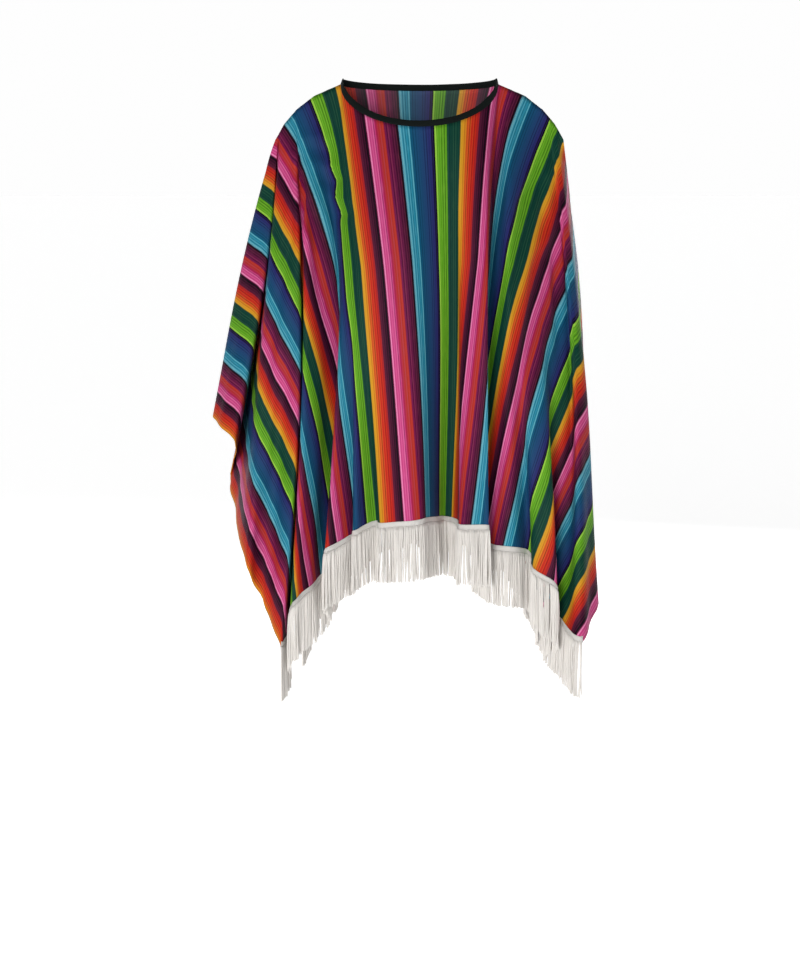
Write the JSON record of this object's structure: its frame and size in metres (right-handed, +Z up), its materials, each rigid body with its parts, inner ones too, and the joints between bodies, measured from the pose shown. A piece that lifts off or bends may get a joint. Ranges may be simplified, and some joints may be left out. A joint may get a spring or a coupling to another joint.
{
  "type": "mexican poncho",
  "caption": "Serape-striped poncho hanging in folds from the shoulders, with a black bound neck hole and a white fringe on both hems.",
  "frame": {"origin": "middle of the neck, at the height of the shoulder fold", "axes": "+Z up along the drop; +Y from the front to the back, the shortest extent; +X to the viewer's right, from the poncho's right side to its left"},
  "size_m": [0.6485, 0.4022, 1.0483],
  "materials": {
    "striped_cloth": "woven polyester with a soft satin sheen, in serape stripes of green, gold, red, pink, purple, turquoise and navy",
    "black_binding": "matt black bias binding",
    "white_fringe": "off-white chainette strands on a woven header"
  },
  "bodies": {
    "root": {"cloth": "striped_cloth", "neck_binding": "black_binding", "fringe_header_front": "white_fringe", "fringe_front": "white_fringe", "fringe_header_back": "white_fringe", "fringe_back": "white_fringe"}
  },
  "joints": []
}
